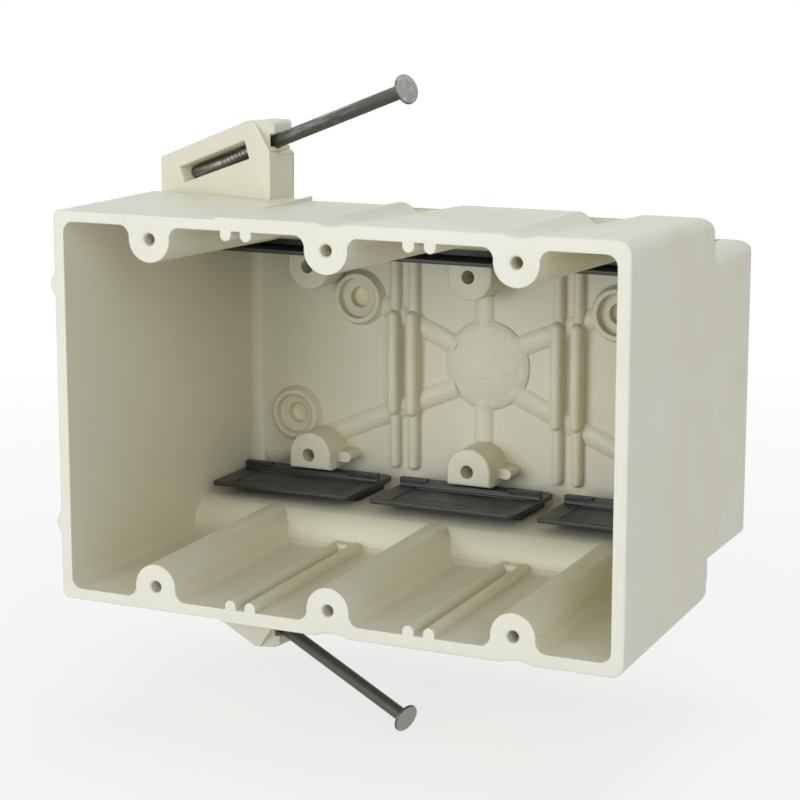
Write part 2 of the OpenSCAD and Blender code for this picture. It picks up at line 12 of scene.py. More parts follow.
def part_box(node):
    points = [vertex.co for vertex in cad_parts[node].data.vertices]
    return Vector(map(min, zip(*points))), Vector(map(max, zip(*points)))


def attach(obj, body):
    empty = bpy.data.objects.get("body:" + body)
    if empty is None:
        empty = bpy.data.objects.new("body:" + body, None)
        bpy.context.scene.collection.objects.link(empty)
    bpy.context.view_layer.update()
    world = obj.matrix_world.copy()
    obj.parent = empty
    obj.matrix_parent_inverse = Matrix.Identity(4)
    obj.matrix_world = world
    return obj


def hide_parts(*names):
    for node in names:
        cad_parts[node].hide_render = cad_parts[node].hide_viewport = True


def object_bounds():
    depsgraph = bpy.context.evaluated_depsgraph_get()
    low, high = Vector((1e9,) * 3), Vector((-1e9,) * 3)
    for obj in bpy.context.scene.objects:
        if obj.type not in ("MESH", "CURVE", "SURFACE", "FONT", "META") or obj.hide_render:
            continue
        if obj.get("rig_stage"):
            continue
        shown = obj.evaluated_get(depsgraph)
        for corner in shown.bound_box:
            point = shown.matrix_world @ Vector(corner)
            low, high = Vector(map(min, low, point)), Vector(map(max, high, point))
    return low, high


bl_info = {
    "name": "Outlet Box Dressing",
    "version": (1, 0, 0),
    "blender": (4, 5, 0),
    "location": "3D View > Sidebar > Outlet Box",
    "description": "Models the finish, nails and cable clamps of a three-gang new work outlet box",
    "category": "Object",
}

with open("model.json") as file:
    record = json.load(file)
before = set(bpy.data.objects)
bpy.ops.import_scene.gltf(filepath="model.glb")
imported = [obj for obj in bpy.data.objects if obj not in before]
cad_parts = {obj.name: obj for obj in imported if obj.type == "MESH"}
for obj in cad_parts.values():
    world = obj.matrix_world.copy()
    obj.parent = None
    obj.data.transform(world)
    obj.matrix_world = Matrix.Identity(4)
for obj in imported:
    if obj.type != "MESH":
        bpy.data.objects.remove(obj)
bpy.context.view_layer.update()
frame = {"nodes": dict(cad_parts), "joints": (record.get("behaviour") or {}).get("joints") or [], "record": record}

MM = 0.001
MICRON = 1e-6
CLAMP_NODES = [n for n in sorted(frame["nodes"]) if n.startswith("cable_clamp")]
# How far each nail is rubbed bright; the lower one is set duller as painted shade
NAIL_WEAR_AND_SHADE = {"top": 0.45, "bottom": 0.2}
# Name, place, size, power and colour of each lamp
LAMPS = (
    ("Key", (-0.55, -1.2, 0.25), 0.7, 7.2, (0.98, 0.99, 1.0)),
    ("Fill", (0.85, -1.15, 0.55), 1.0, 6.4, (0.98, 0.99, 1.0)),
    ("Top", (0.1, 0.25, 1.3), 0.9, 5.6, (0.88, 0.945, 1.0)),
)
# Light that the surroundings cast, which the camera sees as white
WORLD_COLOR = (1.0, 0.985, 0.91, 1)
WORLD_STRENGTH = 0.36
# Share of white in what the camera sees of the floor beside the box
NEAR_WHITE = 0.72
# Distances from the middle of the box at which that share starts to rise and is full
WHITE_START = 0.05
WHITE_FULL = 0.5


# Sizes and colours that a user may change

class MouldingSettings(bpy.types.PropertyGroup):
    """Finish of the moulded box."""

    color: FloatVectorProperty(
        name="Colour", description="Colour of the moulded plastic", subtype="COLOR",
        size=3, min=0, max=1, default=(0.77, 0.768, 0.69))
    # Painted shade: the plastic is mixed towards this darker, warmer colour deeper inside the box; it is also the
    # mottle's second colour
    mottle_and_depth_shade_color: FloatVectorProperty(
        name="Warm Colour", description="Colour of the plastic deep inside the box", subtype="COLOR",
        size=3, min=0, max=1, default=(0.70, 0.67, 0.50))
    bounce_color: FloatVectorProperty(
        name="Bounce Colour", description="Colour that light takes on between the walls", subtype="COLOR",
        size=3, min=0, max=1, default=(0.72, 0.675, 0.45))
    thin_color: FloatVectorProperty(
        name="Thin Spot Colour", description="Colour of the thinned spots in the ring bosses",
        subtype="COLOR", size=3, min=0, max=1, default=(0.9, 0.85, 0.62))
    rim_outside: FloatProperty(
        name="Outer Rim Rounding", description="Rounding of the rim's outer edge right of its step",
        unit="LENGTH", min=0.0001, max=0.001, default=0.6 * MM)
    boss_round: FloatProperty(
        name="Boss Rounding", description="Rounding of the long edges of the nail bosses", unit="LENGTH",
        min=0.0001, max=0.0008, default=0.4 * MM)
    post_round: FloatProperty(
        name="Post Rounding", description="Rounding of the front edges of the posts", unit="LENGTH",
        min=0.0001, max=0.0012, default=0.7 * MM)
    disc_place: FloatVectorProperty(
        name="Disc Place", description="Centre of the rough disc on the back wall, across and up",
        subtype="TRANSLATION", size=2, default=(1.0 * MM, 1.0 * MM))
    disc_radius: FloatProperty(
        name="Disc Radius", description="Radius of the rough disc on the back wall", unit="LENGTH",
        min=0.009, max=0.013, default=11.7 * MM)
    edge_round: FloatProperty(
        name="Edge Rounding", description="Soft radius that light finds on every other edge", unit="LENGTH",
        min=0.0001, max=0.001, default=0.45 * MM)
    roughness: FloatProperty(
        name="Roughness", description="Mean roughness of the moulded surface", min=0.1, max=1, default=0.47)


class NailSettings(bpy.types.PropertyGroup):
    """Sizes and steel of the nails."""

    head_dome: FloatProperty(
        name="Head Dome", description="Rise of the nail head's face", unit="LENGTH",
        min=0, max=0.001, default=0.34 * MM)
    head_thickness: FloatProperty(
        name="Head Thickness", description="Whole thickness of the nail head", unit="LENGTH",
        min=0.0008, max=0.002, default=1.2 * MM)
    ring_count: IntProperty(
        name="Grip Rings", description="Rings pressed into the shank", min=4, max=20, default=9)
    ring_pitch: FloatProperty(
        name="Ring Pitch", description="Spacing of the grip rings", unit="LENGTH",
        min=0.0008, max=0.003, default=1.45 * MM)
    ring_depth: FloatProperty(
        name="Ring Depth", description="Depth of the grooves between the rings", unit="LENGTH",
        min=0.00005, max=0.0004, default=0.2 * MM)
    ring_start: FloatProperty(
        name="Ring Start", description="Distance from the nail's tip to its first ring", unit="LENGTH",
        min=0.005, max=0.05, default=18.2 * MM)
    sides: IntProperty(name="Sides", description="Facets round a nail", min=24, max=96, default=56)
    steel_color: FloatVectorProperty(
        name="Steel Colour", description="Colour of the drawn wire", subtype="COLOR",
        size=3, min=0, max=1, default=(0.11, 0.108, 0.096))
    worn_color: FloatVectorProperty(
        name="Worn Colour", description="Colour where the steel is rubbed bright", subtype="COLOR",
        size=3, min=0, max=1, default=(0.62, 0.62, 0.60))


class ClampSettings(bpy.types.PropertyGroup):
    """Finish of the cable clamps."""

    edge_round: FloatProperty(
        name="Edge Rounding", description="Rounding of the edges of a clamp", unit="LENGTH",
        min=0.00005, max=0.0003, default=0.15 * MM)
    color: FloatVectorProperty(
        name="Colour", description="Colour of the clamp plastic", subtype="COLOR",
        size=3, min=0, max=1, default=(0.014, 0.014, 0.017))


class StageSettings(bpy.types.PropertyGroup):
    """Camera, lamps and floor."""

    azimuth: FloatProperty(
        name="Azimuth", description="Turn of the camera about the box", subtype="ANGLE",
        default=math.radians(27.022))
    elevation: FloatProperty(
        name="Elevation", description="Height angle of the camera", subtype="ANGLE",
        default=math.radians(11.058))
    roll: FloatProperty(
        name="Roll", description="Roll of the camera", subtype="ANGLE", default=math.radians(-0.256))
    place: FloatVectorProperty(
        name="Place", description="Place of the camera", subtype="TRANSLATION", size=3,
        default=(0.24098, -0.46559, 0.11252))
    lens: FloatProperty(
        name="Lens", description="Focal length in millimetres", min=20, max=300, default=106.62)
    shift: FloatVectorProperty(
        name="Shift", description="Shift of the lens", size=2, default=(0.075, -0.0125))
    floor_gap: FloatProperty(
        name="Floor Gap", description="Gap between the lowest nail head and the floor", unit="LENGTH",
        min=0, max=0.2, default=0.4 * MM)
    floor_color: FloatVectorProperty(
        name="Floor Colour", description="Colour of the floor under the box", subtype="COLOR",
        size=3, min=0, max=1, default=(0.86, 0.86, 0.86))


# Selecting and finishing meshes

def object_mode():
    """Leaves edit mode and selects nothing."""
    if bpy.context.object and bpy.context.object.mode != "OBJECT":
        bpy.ops.object.mode_set(mode="OBJECT")
    bpy.ops.object.select_all(action="DESELECT")


def activate(piece):
    """Makes one object the only selected and active one."""
    object_mode()
    piece.select_set(True)
    bpy.context.view_layer.objects.active = piece


def edit(piece, kind="FACE"):
    """Enters edit mode on one object with nothing selected."""
    activate(piece)
    bpy.ops.object.mode_set(mode="EDIT")
    bpy.ops.mesh.select_mode(type=kind)
    bpy.ops.mesh.select_all(action="DESELECT")


def pick(piece, kind, test):
    """Selects the vertices or edges of the edited mesh that pass a test, and counts them."""
    mesh = bmesh.from_edit_mesh(piece.data)
    parts = {"VERT": mesh.verts, "EDGE": mesh.edges}[kind]
    count = 0
    for part in parts:
        if test(part):
            part.select_set(True)
            count += 1
    mesh.select_flush_mode()
    bmesh.update_edit_mesh(piece.data)
    return count


def name_piece(name):
    """Names the active object and its mesh."""
    piece = bpy.context.object
    piece.name = name
    piece.data.name = name
    return piece


def place_piece(piece, matrix):
    """Moves a piece to its place and puts that place in its mesh."""
    activate(piece)
    piece.matrix_world = matrix
    bpy.ops.object.transform_apply(location=True, rotation=True, scale=True)


def face_outwards(piece):
    """Merges doubles and turns every face outwards."""
    edit(piece)
    bpy.ops.mesh.select_all(action="SELECT")
    bpy.ops.mesh.remove_doubles(threshold=MICRON)
    bpy.ops.mesh.normals_make_consistent(inside=False)
    object_mode()


def smooth(piece, angle):
    """Shades a piece smooth up to an angle in degrees."""
    activate(piece)
    bpy.ops.object.shade_smooth_by_angle(angle=math.radians(angle))


def bevel(piece, width, segments, angle):
    """Rounds the edges of a piece that are sharper than an angle in degrees."""
    activate(piece)
    rounding = piece.modifiers.new("Rounded edges", "BEVEL")
    rounding.width = width
    rounding.segments = segments
    rounding.limit_method = "ANGLE"
    rounding.angle_limit = math.radians(angle)
    bpy.ops.object.modifier_apply(modifier=rounding.name)


def copy_node(node, name):
    """A piece of its own made from a merged copy of a CAD node's mesh."""
    piece = frame["nodes"][node].copy()
    piece.data = piece.data.copy()
    piece.name = name
    piece.data.name = name
    bpy.context.scene.collection.objects.link(piece)
    piece.parent = None
    for key in [k for k in piece.keys() if k.startswith("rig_")]:
        del piece[key]
    edit(piece)
    bpy.ops.mesh.select_all(action="SELECT")
    bpy.ops.mesh.remove_doubles(threshold=MICRON)
    bpy.ops.mesh.customdata_custom_splitnormals_clear()
    object_mode()
    return piece


def finish_piece(piece, material, body):
    """Gives a piece its material and its body."""
    piece.data.materials.clear()
    piece.data.materials.append(material)
    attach(piece, body)


# Shader node groups and materials

class Nodes:
    """Adds and links shader nodes in one tree."""

    def __init__(self, tree):
        self.tree = tree
        tree.nodes.clear()

    def add(self, kind, inputs=None, **settings):
        node = self.tree.nodes.new(kind)
        for key, value in settings.items():
            setattr(node, key, value)
        for key, value in (inputs or {}).items():
            if isinstance(value, bpy.types.NodeSocket):
                self.tree.links.new(value, node.inputs[key])
            else:
                node.inputs[key].default_value = value
        return node

    def link(self, values, node):
        """Links values to the inputs of a node by name."""
        for key, value in values.items():
            self.tree.links.new(value, node.inputs[key])

    def math(self, operation, a, b=0.0):
        return self.add("ShaderNodeMath", {0: a, 1: b}, operation=operation).outputs[0]

    def scaled(self, value, factor):
        return self.math("MULTIPLY", value, factor)

    def mix(self, factor, a, b):
        inputs = {"Factor": factor, "A": a, "B": b}
        return self.add("ShaderNodeMix", inputs, data_type="RGBA").outputs["Result"]

    def noise(self, place, scale, **inputs):
        """Noise at a place; the other inputs are named in lower case."""
        values = {key.capitalize(): value for key, value in inputs.items()}
        return self.add("ShaderNodeTexNoise", {"Vector": place, "Scale": scale, **values}).outputs["Fac"]

    def spread(self, value, low, high):
        """Maps low..high of a value to 0..1."""
        inputs = {"Value": value, "From Min": low, "From Max": high}
        return self.add("ShaderNodeMapRange", inputs, clamp=True).outputs["Result"]


def group_tree(name, inputs, outputs):
    """A shader node group with named sockets, and its nodes."""
    tree = bpy.data.node_groups.new(name, "ShaderNodeTree")
    kinds = {"float": "NodeSocketFloat", "color": "NodeSocketColor", "vector": "NodeSocketVector"}
    for socket, (kind, default) in inputs.items():
        item = tree.interface.new_socket(socket, in_out="INPUT", socket_type=kinds[kind])
        if default is not None:
            item.default_value = default
    for socket, kind in outputs.items():
        tree.interface.new_socket(socket, in_out="OUTPUT", socket_type=kinds[kind])
    nodes = Nodes(tree)
    return tree, nodes, nodes.add("NodeGroupInput"), nodes.add("NodeGroupOutput")


def mottle_group():
    """Faint flow marks and grain of moulded plastic: two colours, a roughness and a height."""
    tree, nodes, given, out = group_tree(
        "Moulded mottle",
        {"Color": ("color", (0.8, 0.8, 0.8, 1)), "Second Color": ("color", (0.7, 0.7, 0.7, 1)),
         "Roughness": ("float", 0.5), "Cloud Scale": ("float", 60.0), "Grain Scale": ("float", 900.0),
         "Grain": ("float", 0.5)},
        {"Color": "color", "Roughness": "float", "Height": "float"})
    place = nodes.add("ShaderNodeTexCoord").outputs["Object"]
    cloud = nodes.noise(place, given.outputs["Cloud Scale"], detail=4.0, roughness=0.6, distortion=0.6)
    grain = nodes.noise(place, given.outputs["Grain Scale"], detail=2.0, roughness=0.5)
    cloudy = nodes.spread(cloud, 0.3, 0.72)
    specks = nodes.scaled(nodes.spread(grain, 0.62, 0.8), 0.22)
    tint = nodes.mix(cloudy, given.outputs["Color"], given.outputs["Second Color"])
    color = nodes.mix(specks, tint, given.outputs["Second Color"])
    wander = nodes.scaled(nodes.math("SUBTRACT", cloud, 0.5), 0.3)
    rough = nodes.math("ADD", given.outputs["Roughness"], wander)
    height = nodes.math("ADD", nodes.scaled(cloud, 0.8), nodes.scaled(grain, given.outputs["Grain"]))
    nodes.link({"Color": color, "Roughness": rough, "Height": height}, out)
    return tree


def wear_group():
    """Rubbed steel: patches where the dark skin is worn bright, streaks if the place is stretched."""
    tree, nodes, given, out = group_tree(
        "Rubbed steel",
        {"Color": ("color", (0.3, 0.3, 0.3, 1)), "Worn Color": ("color", (0.6, 0.6, 0.6, 1)),
         "Wear": ("float", 0.5), "Scale": ("float", 500.0), "Vector": ("vector", None)},
        {"Color": "color", "Roughness": "float", "Height": "float"})
    place = given.outputs["Vector"]
    patch = nodes.noise(place, given.outputs["Scale"], detail=5.0, roughness=0.65)
    fine = nodes.noise(place, 2600.0, detail=3.0)
    edge = nodes.scaled(nodes.math("SUBTRACT", 1.0, given.outputs["Wear"]), 0.5)
    worn = nodes.spread(nodes.math("ADD", patch, nodes.scaled(fine, 0.25)),
                        nodes.math("ADD", edge, 0.35), nodes.math("ADD", edge, 0.72))
    color = nodes.mix(worn, given.outputs["Color"], given.outputs["Worn Color"])
    rough = nodes.math("SUBTRACT", 0.5, nodes.scaled(worn, 0.14))
    height = nodes.math("ADD", nodes.scaled(patch, 0.5), nodes.scaled(fine, 0.5))
    nodes.link({"Color": color, "Roughness": rough, "Height": height}, out)
    return tree


def shared_group(name, build):
    """The node group of that name, built on first use."""
    return bpy.data.node_groups.get(name) or build()


def new_material(name):
    """A material, its nodes, its Principled shader and a link to the output."""
    material = bpy.data.materials.new(name)
    material.use_nodes = True
    nodes = Nodes(material.node_tree)
    shader = nodes.add("ShaderNodeBsdfPrincipled")
    output = nodes.add("ShaderNodeOutputMaterial")
    material.node_tree.links.new(shader.outputs["BSDF"], output.inputs["Surface"])
    return material, nodes, shader


def rgba(color):
    """A colour with full alpha."""
    return (color[0], color[1], color[2], 1.0)


def add_relief(nodes, shader, height, depth, strength, edge_round):
    """Feeds a bump over softly rounded edges into a shader's normal."""
    soft = nodes.add("ShaderNodeBevel", {"Radius": edge_round}, samples=6)
    bump = nodes.add("ShaderNodeBump", {"Height": height, "Distance": depth, "Strength": strength,
                                        "Normal": soft.outputs["Normal"]})
    nodes.tree.links.new(bump.outputs["Normal"], shader.inputs["Normal"])


def thin_level():
    """Depth of the thinned spots, the deepest faces that look out of the box."""
    return max(p.center.y for p in frame["nodes"]["box_body"].data.polygons if p.normal.y < -0.99)


def disc_mask(nodes, place, settings, depth):
    """1 on the rough disc on the back wall, 0 elsewhere."""
    across = nodes.math("SUBTRACT", place.outputs["X"], settings.disc_place[0])
    up = nodes.math("SUBTRACT", place.outputs["Z"], settings.disc_place[1])
    squares = nodes.math("ADD", nodes.scaled(across, across), nodes.scaled(up, up))
    edge = settings.disc_radius
    fade = 1.2 * MM
    within = nodes.spread(nodes.math("SQRT", squares), edge, edge - fade)
    return nodes.scaled(within, nodes.spread(place.outputs["Y"], 0.8 * depth, 0.85 * depth))


def thin_mask(nodes, place, facing):
    """1 on the thinned spots in the ring bosses, 0 elsewhere."""
    level = thin_level()
    deepest = nodes.spread(place.outputs["Y"], level - 0.1 * MM, level - 0.05 * MM)
    return nodes.scaled(deepest, nodes.spread(facing.outputs["Y"], -0.8, -0.9))


def moulding_material(settings):
    """Ivory thermoset plastic, faintly mottled, with painted shade that darkens and warms it deeper inside the
    box, and warmer where light goes to and fro between its walls.
    """
    material, nodes, shader = new_material("Ivory moulding")
    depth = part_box("box_body")[1].y
    where = nodes.add("ShaderNodeTexCoord")
    place = nodes.add("ShaderNodeSeparateXYZ", {0: where.outputs["Object"]})
    facing = nodes.add("ShaderNodeSeparateXYZ", {0: where.outputs["Normal"]})
    # Painted shade: the colour grows darker and warmer with depth into the box
    inward_shade = nodes.spread(place.outputs["Y"], 0.0, 0.4 * depth)
    shaded_base = nodes.mix(nodes.scaled(inward_shade, 0.3), rgba(settings.color), rgba(settings.mottle_and_depth_shade_color))
    shaded_second = nodes.mix(0.22, shaded_base, rgba(settings.mottle_and_depth_shade_color))
    mottle = nodes.add("ShaderNodeGroup", {
        "Color": shaded_base, "Second Color": shaded_second, "Roughness": settings.roughness,
        "Cloud Scale": 70.0, "Grain Scale": 1500.0, "Grain": 0.35,
    }, node_tree=shared_group("Moulded mottle", mottle_group))
    knobs = nodes.noise(where.outputs["Object"], 330.0, detail=2.0)
    knobs = nodes.scaled(nodes.scaled(knobs, disc_mask(nodes, place, settings, depth)), 12.0)
    relief = nodes.math("ADD", mottle.outputs["Height"], knobs)
    thin = thin_mask(nodes, place, facing)
    tinted = nodes.mix(thin, mottle.outputs["Color"], rgba(settings.thin_color))
    bounced = nodes.add("ShaderNodeLightPath").outputs["Is Diffuse Ray"]
    color = nodes.mix(bounced, tinted, rgba(settings.bounce_color))
    nodes.link({"Base Color": color, "Roughness": mottle.outputs["Roughness"]}, shader)
    shader.inputs["IOR"].default_value = 1.5
    shader.inputs["Specular IOR Level"].default_value = 0.42
    add_relief(nodes, shader, relief, depth=0.12 * MM, strength=0.35, edge_round=settings.edge_round)
    return material


def clamp_material(settings):
    """Satin black plastic with a fine grain."""
    material, nodes, shader = new_material("Black clamp plastic")
    mottle = nodes.add("ShaderNodeGroup", {
        "Color": rgba(settings.color), "Second Color": rgba([3.0 * c for c in settings.color]),
        "Roughness": 0.42, "Cloud Scale": 110.0, "Grain Scale": 2200.0, "Grain": 0.5,
    }, node_tree=shared_group("Moulded mottle", mottle_group))
    nodes.link({"Base Color": mottle.outputs["Color"], "Roughness": mottle.outputs["Roughness"]}, shader)
    shader.inputs["Specular IOR Level"].default_value = 0.5
    add_relief(nodes, shader, mottle.outputs["Height"], depth=0.1 * MM, strength=0.4, edge_round=0.25 * MM)
    return material


def steel_material(settings, name, wear_and_shade, axis, face):
    """Drawn steel wire with streaks along it; the head is lighter, with a faint chequer of ridges."""
    material, nodes, shader = new_material(name)
    place = nodes.add("ShaderNodeTexCoord").outputs["Object"]
    upright = axis.to_track_quat("Z", "Y").inverted()
    local = nodes.add("ShaderNodeMapping", {"Vector": place, "Rotation": upright.to_euler()})
    drawn = nodes.add("ShaderNodeMapping", {"Vector": local.outputs["Vector"], "Scale": (1.0, 1.0, 0.1)})
    # The wear share also carries painted shade: the lower nail gets less of it, so it is darker
    rubbed = nodes.add("ShaderNodeGroup", {
        "Color": rgba(settings.steel_color), "Worn Color": rgba(settings.worn_color),
        "Wear": wear_and_shade, "Scale": 420.0, "Vector": drawn.outputs["Vector"],
    }, node_tree=shared_group("Rubbed steel", wear_group))
    split = nodes.add("ShaderNodeSeparateXYZ", {0: local.outputs["Vector"]})
    wave = 2 * math.pi / (0.95 * MM)
    ridges = [nodes.math("SINE", nodes.scaled(split.outputs[way], wave)) for way in "XY"]
    chequer = nodes.scaled(*[nodes.math("ABSOLUTE", ridge) for ridge in ridges])
    face_height = (upright @ face).z
    on_head = nodes.spread(split.outputs["Z"], face_height - 0.5 * MM, face_height - 0.35 * MM)
    relief = nodes.math("ADD", nodes.scaled(rubbed.outputs["Height"], 0.1),
                        nodes.scaled(nodes.scaled(chequer, on_head), 0.3))
    light = nodes.scaled(nodes.math("ADD", nodes.scaled(chequer, 0.25), 0.3), on_head)
    color = nodes.mix(light, rubbed.outputs["Color"], rgba(settings.worn_color))
    nodes.link({"Base Color": color, "Roughness": rubbed.outputs["Roughness"]}, shader)
    shader.inputs["Metallic"].default_value = 0.85
    add_relief(nodes, shader, relief, depth=0.16 * MM, strength=0.6, edge_round=0.2 * MM)
    return material


# The moulded box

class OUTLETBOX_OT_moulding(bpy.types.Operator):
    """Gives the moulded box rounded edges and its ivory finish"""

    bl_idname = "outletbox.moulding"
    bl_label = "Moulded Box"

    def execute(self, context):
        settings = context.scene.outletbox_moulding
        body = copy_node("box_body", "moulded_box")
        low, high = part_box("box_body")
        wall_top, step_x = rim_step()
        post_holes = post_hole_mouths()
        post_front = post_holes[0].y
        # Bands at the top and the far side in which the rim's outer edge lies, and its gap to the step
        rim_band = 1.7 * MM
        side_band = 1.6 * MM
        step_gap = 2 * MM
        # Reach of a nail boss above and below the wall's top, and the shortest edge of it that is rounded
        boss_above = 1.5 * MM
        boss_below = 2 * MM
        boss_edge = 3.5 * MM
        # Slack in the depth of a post's front, and the room that its hole keeps
        post_slack = 20 * MICRON
        hole_room = 2.5 * MM
        flatten_rim(body, low.y)

        def sharp(edge, angle):
            return len(edge.link_faces) == 2 and edge.calc_face_angle() > math.radians(angle)

        def outside(vert):
            on_band = abs(vert.co.z) > wall_top - rim_band or vert.co.x >= high.x - side_band
            return on_band and vert.co.x > step_x + step_gap and abs(vert.co.y - low.y) < MICRON

        def on_rim(edge):
            return all(outside(v) for v in edge.verts) and sharp(edge, 30)

        def on_boss(edge):
            heights = [abs(v.co.z) for v in edge.verts]
            beside = max(heights) > wall_top + boss_above and min(heights) > wall_top - boss_below
            return beside and edge.calc_length() > boss_edge and sharp(edge, 40) and edge.is_convex

        def on_post(edge):
            level = all(abs(v.co.y - post_front) < post_slack for v in edge.verts)
            past_hole = all((v.co - hole).length > hole_room for v in edge.verts for hole in post_holes)
            return level and past_hole and sharp(edge, 40)

        groups = (
            ("posts", settings.post_round, on_post),
            ("rim", settings.rim_outside, on_rim),
            ("nail bosses", settings.boss_round, on_boss),
        )
        for name, radius, test in groups:
            edit(body, "EDGE")
            if not pick(body, "EDGE", test):
                raise RuntimeError("no edges to round: " + name)
            bpy.ops.mesh.bevel(offset=radius, segments=3, profile=0.5, clamp_overlap=False, loop_slide=False)
        smooth(body, angle=28)
        finish_piece(body, moulding_material(settings), "box")
        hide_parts("box_body")
        return {"FINISHED"}


def rim_step():
    """Half the height of the rim, and where it steps down towards the stud, from the node's vertices."""
    node = frame["nodes"]["box_body"]
    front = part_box("box_body")[0].y
    depth_slack = 5 * MICRON
    height_slack = 10 * MICRON
    rim = [v.co for v in node.data.vertices if v.co.y < front + depth_slack]
    top = max(co.z for co in rim)
    return top, min(co.x for co in rim if co.z > top - height_slack)


def post_hole_mouths():
    """Centres of the mouths of the holes in the posts, from their mounts."""
    mouths = []
    for mount in frame["record"]["mounts"]:
        if mount["name"].startswith("post_screws"):
            half = 0.5 * mount["dims"]["spacing_y_mm"] * MM
            mouths += [Vector(mount["pos_m"]) + Vector((0, 0, s * half)) for s in (-1, 1)]
    return mouths


def flatten_rim(body, front):
    """Brings the vertices at the rim into its plane and merges those that lie close together."""
    slack = 15 * MICRON
    edit(body, "VERT")
    pick(body, "VERT", lambda v: v.co.y < front + slack)
    bpy.ops.transform.resize(value=(1, 0, 1), center_override=(0, front, 0))
    bpy.ops.mesh.remove_doubles(threshold=slack)
    object_mode()


# The nails

def nail_axis(side):
    """Unit vector from tip to head, from the joint that drives the nail."""
    joint = next(j for j in frame["joints"] if j["child"] == "nail_" + side)
    return -Vector(joint["axis"]).normalized()


def nail_tip(side):
    """Tip of a nail, from its mount."""
    mount = next(m for m in frame["record"]["mounts"] if m["name"] == "nail_point_" + side)
    return Vector(mount["pos_m"])


def nail_length(side):
    """Distance from tip to the crown of the head, from the node's vertices."""
    axis, tip = nail_axis(side), nail_tip(side)
    return max((v.co - tip).dot(axis) for v in frame["nodes"]["nail_" + side].data.vertices)


def nail_radii(side):
    """Shank and head radius, from the node's vertices."""
    axis, tip = nail_axis(side), nail_tip(side)
    reach = nail_length(side)
    shank = head = 0.0
    for vertex in frame["nodes"]["nail_" + side].data.vertices:
        along = (vertex.co - tip).dot(axis)
        radius = ((vertex.co - tip) - along * axis).length
        head = max(head, radius)
        if along < 0.9 * reach:
            shank = max(shank, radius)
    return shank, head


def nail_profile(settings, side):
    """Radius and height of each ring of a nail, tip first."""
    shank, head = nail_radii(side)
    top = nail_length(side)
    under = top - settings.head_thickness
    dome_base = top - settings.head_dome
    point = [(0.25 * MM, 0.0), (0.8 * MM, 1.5 * MM), (1.25 * MM, 3.0 * MM), (shank, 4.6 * MM)]
    rings = []
    for i in range(settings.ring_count):
        low = settings.ring_start + i * settings.ring_pitch
        groove = shank - settings.ring_depth
        rings += [(shank, low), (groove, low + 0.3 * settings.ring_pitch),
                  (groove, low + 0.5 * settings.ring_pitch), (shank, low + 0.8 * settings.ring_pitch)]
    neck = [(shank, under - 1.0 * MM), (1.06 * shank, under - 0.4 * MM), (1.22 * shank, under)]
    rim = [(head - 0.25 * MM, under), (head, under + 0.25 * MM), (head, dome_base - 0.28 * MM),
           (head - 0.1 * MM, dome_base - 0.08 * MM), (head - 0.35 * MM, dome_base + 0.02 * MM)]
    dome = [(share * head, dome_base + settings.head_dome * (1 - share * share))
            for share in (0.78, 0.55, 0.3, 0.1)]
    return point + rings + neck + rim + dome


class OUTLETBOX_OT_nails(bpy.types.Operator):
    """Models the two captive nails with grip rings and faintly chequered heads"""

    bl_idname = "outletbox.nails"
    bl_label = "Nails"

    def execute(self, context):
        settings = context.scene.outletbox_nails
        for side in ("top", "bottom"):
            steps = nail_profile(settings, side)
            object_mode()
            bpy.ops.mesh.primitive_circle_add(
                vertices=settings.sides, radius=steps[0][0], fill_type="NGON", location=(0, 0, steps[0][1]))
            nail = name_piece("nail_%s_steel" % side)
            bpy.ops.object.mode_set(mode="EDIT")
            bpy.ops.mesh.select_mode(type="FACE")
            bpy.ops.mesh.select_all(action="SELECT")
            for (radius0, height0), (radius, height) in zip(steps, steps[1:]):
                bpy.ops.mesh.extrude_region_move(
                    TRANSFORM_OT_translate={"value": (0, 0, height - height0)})
                share = radius / radius0
                bpy.ops.transform.resize(value=(share, share, 1), center_override=(0, 0, height))
            face_outwards(nail)
            axis, tip = nail_axis(side), nail_tip(side)
            turn = axis.to_track_quat("Z", "Y").to_matrix().to_4x4()
            place_piece(nail, Matrix.Translation(tip) @ turn)
            smooth(nail, angle=32)
            crown = tip + axis * nail_length(side)
            material = steel_material(settings, "Drawn steel " + side, NAIL_WEAR_AND_SHADE[side], axis, crown)
            finish_piece(nail, material, "nail_" + side)
            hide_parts("nail_" + side)
        return {"FINISHED"}


# The cable clamps

class OUTLETBOX_OT_cable_clamps(bpy.types.Operator):
    """Rounds the edges of the six cable clamps and gives them their black finish"""

    bl_idname = "outletbox.cable_clamps"
    bl_label = "Cable Clamps"

    def execute(self, context):
        settings = context.scene.outletbox_clamps
        material = clamp_material(settings)
        for node in CLAMP_NODES:
            clamp = copy_node(node, node + "_moulded")
            bevel(clamp, settings.edge_round, segments=2, angle=40)
            smooth(clamp, angle=32)
            finish_piece(clamp, material, "box")
            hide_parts(node)
        return {"FINISHED"}


# The stage

def seen_directly(nodes):
    """1 for rays from the camera, reflections and glass, 0 for light."""
    path = nodes.add("ShaderNodeLightPath")
    reflected = nodes.math("MAXIMUM", path.outputs["Is Glossy Ray"], path.outputs["Is Transmission Ray"])
    return nodes.math("MAXIMUM", path.outputs["Is Camera Ray"], reflected)


def white_to_camera(nodes, shader):
    """Adds white that only the camera, reflections and glass see."""
    seen = seen_directly(nodes)
    glow = nodes.add("ShaderNodeBackground", {"Color": (1, 1, 1, 1), "Strength": 1.0})
    return nodes.add("ShaderNodeMixShader", {0: seen, 1: shader, 2: glow.outputs[0]}).outputs[0]


def add_lamp(target, name, place, size, power, color):
    """A soft square lamp that looks at a point."""
    light = bpy.data.lights.new(name, "AREA")
    light.shape = "SQUARE"
    light.size = size
    light.energy = power
    light.color = color
    lamp = bpy.data.objects.new(name, light)
    bpy.context.scene.collection.objects.link(lamp)
    lamp.location = place
    lamp.rotation_euler = (Vector(target) - Vector(place)).to_track_quat("-Z", "Y").to_euler()


